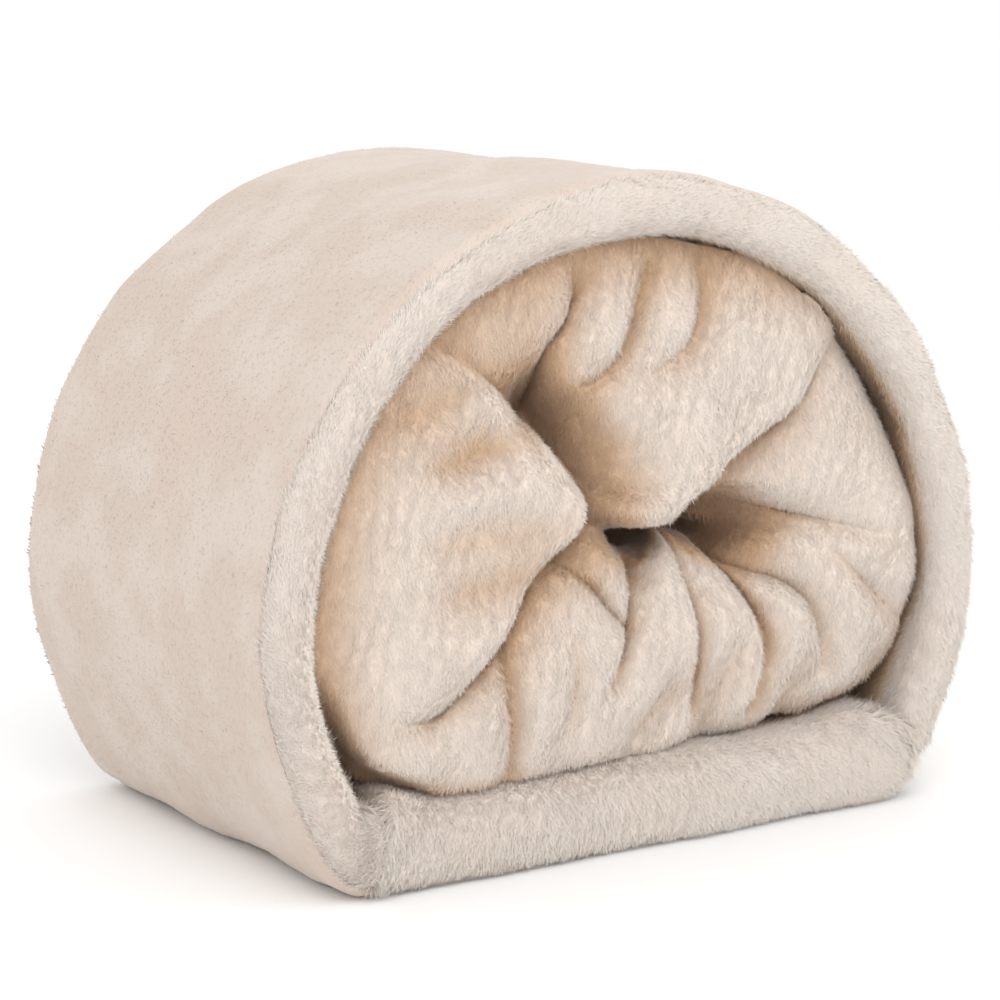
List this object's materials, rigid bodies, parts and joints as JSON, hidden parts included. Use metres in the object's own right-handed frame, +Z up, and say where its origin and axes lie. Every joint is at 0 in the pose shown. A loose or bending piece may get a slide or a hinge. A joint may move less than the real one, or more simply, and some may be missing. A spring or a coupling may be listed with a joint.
{
  "type": "small animal tunnel",
  "caption": "Padded half-round plush tunnel that stands on a flat floor pad, with a soft plush sleeve bunched up inside it so that a small pet can push in at either end.",
  "frame": {"origin": "middle of the footprint, on the surface that the tunnel stands on", "axes": "+Z up, +X across the arch, -Y out of the front mouth"},
  "size_m": [0.32, 0.2, 0.25],
  "materials": {
    "cover_plush": "short cream plush, pile brushed flat",
    "rim_plush": "fluffy cream plush",
    "sleeve_plush": "fluffy cream plush"
  },
  "bodies": {
    "root": {"arch_cover": "cover_plush", "arch_lining": "rim_plush", "floor_pad": "rim_plush", "sleeve": "sleeve_plush"}
  },
  "joints": []
}
